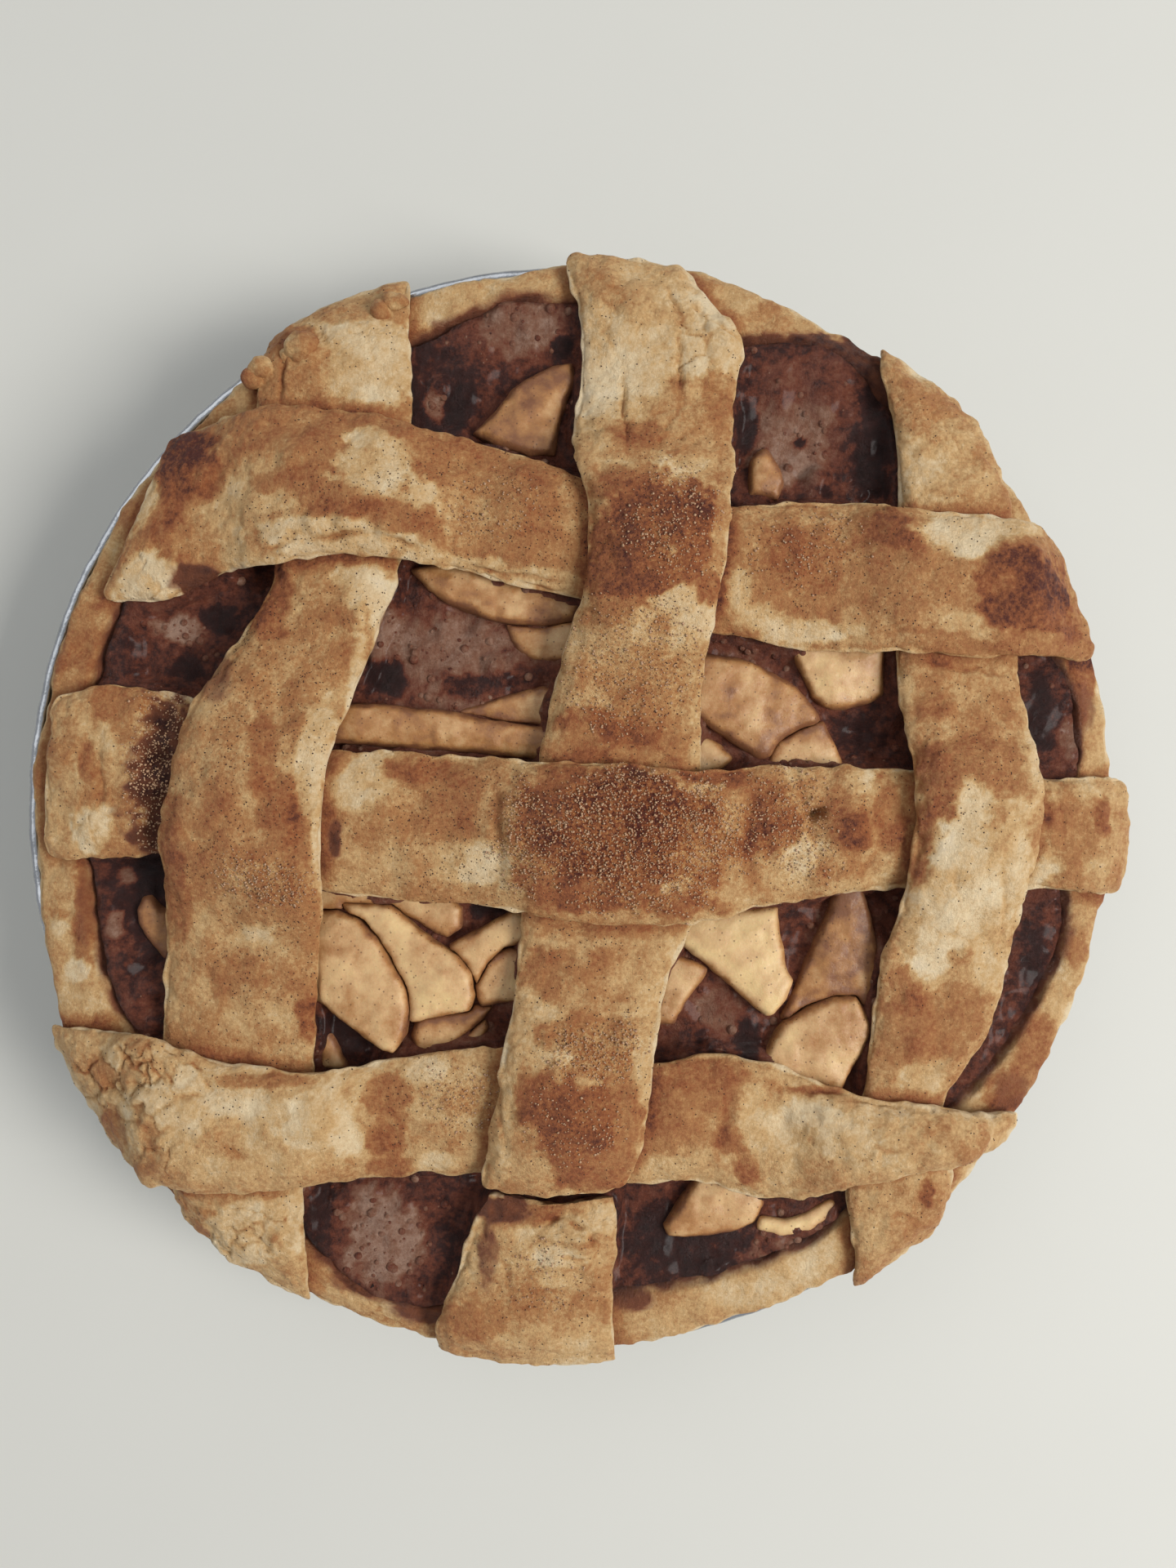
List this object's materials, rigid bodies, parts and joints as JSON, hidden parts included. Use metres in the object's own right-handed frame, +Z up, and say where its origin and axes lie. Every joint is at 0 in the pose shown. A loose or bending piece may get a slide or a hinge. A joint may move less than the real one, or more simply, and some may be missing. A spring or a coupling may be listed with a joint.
{
  "type": "apple pie",
  "caption": "Round home-baked fruit pie with a woven lattice top of wide pastry strips over apple slices and dark syrup, in its foil tin.",
  "frame": {"origin": "centre of the foil tin's flat base", "axes": "+Z up, +Y towards the pie's far edge in the picture, +X towards its right edge"},
  "size_m": [0.2246, 0.2238, 0.0537],
  "materials": {
    "foil": "bright crinkled foil",
    "crust": "baked golden shortcrust pastry",
    "lattice": "baked shortcrust pastry, browned in patches, with sugar and cinnamon",
    "syrup": "dark glossy boiled syrup with bubbles",
    "fruit": "soft cooked fruit, moist"
  },
  "bodies": {
    "root": {"tin": "foil", "pastry_case": "crust", "filling": "syrup", "strip_left": "lattice", "strip_centre": "lattice", "strip_centre_foot": "lattice", "strip_right": "lattice", "strip_back": "lattice", "strip_middle": "lattice", "strip_front": "lattice", "slice_back_gap": "fruit", "slice_back_right_gap": "fruit", "slice_inner_left_high": "fruit", "slice_inner_left_side": "fruit", "slice_inner_left_bar": "fruit", "slice_inner_left_low": "fruit", "slice_inner_right_large": "fruit", "slice_inner_right_pale": "fruit", "slice_inner_right_under": "fruit", "slice_inner_right_chip": "fruit", "slice_left_edge": "fruit", "slice_front_left_large": "fruit", "slice_front_left_second": "fruit", "slice_front_left_third": "fruit", "slice_front_left_side": "fruit", "slice_front_left_sunk": "fruit", "slice_front_left_chip": "fruit", "slice_front_left_sliver": "fruit", "slice_front_left_back": "fruit", "slice_front_right_pale": "fruit", "slice_front_right_tall": "fruit", "slice_front_right_round": "fruit", "slice_front_right_side": "fruit", "slice_front_gap_large": "fruit", "slice_front_gap_pale": "fruit"}
  },
  "joints": []
}
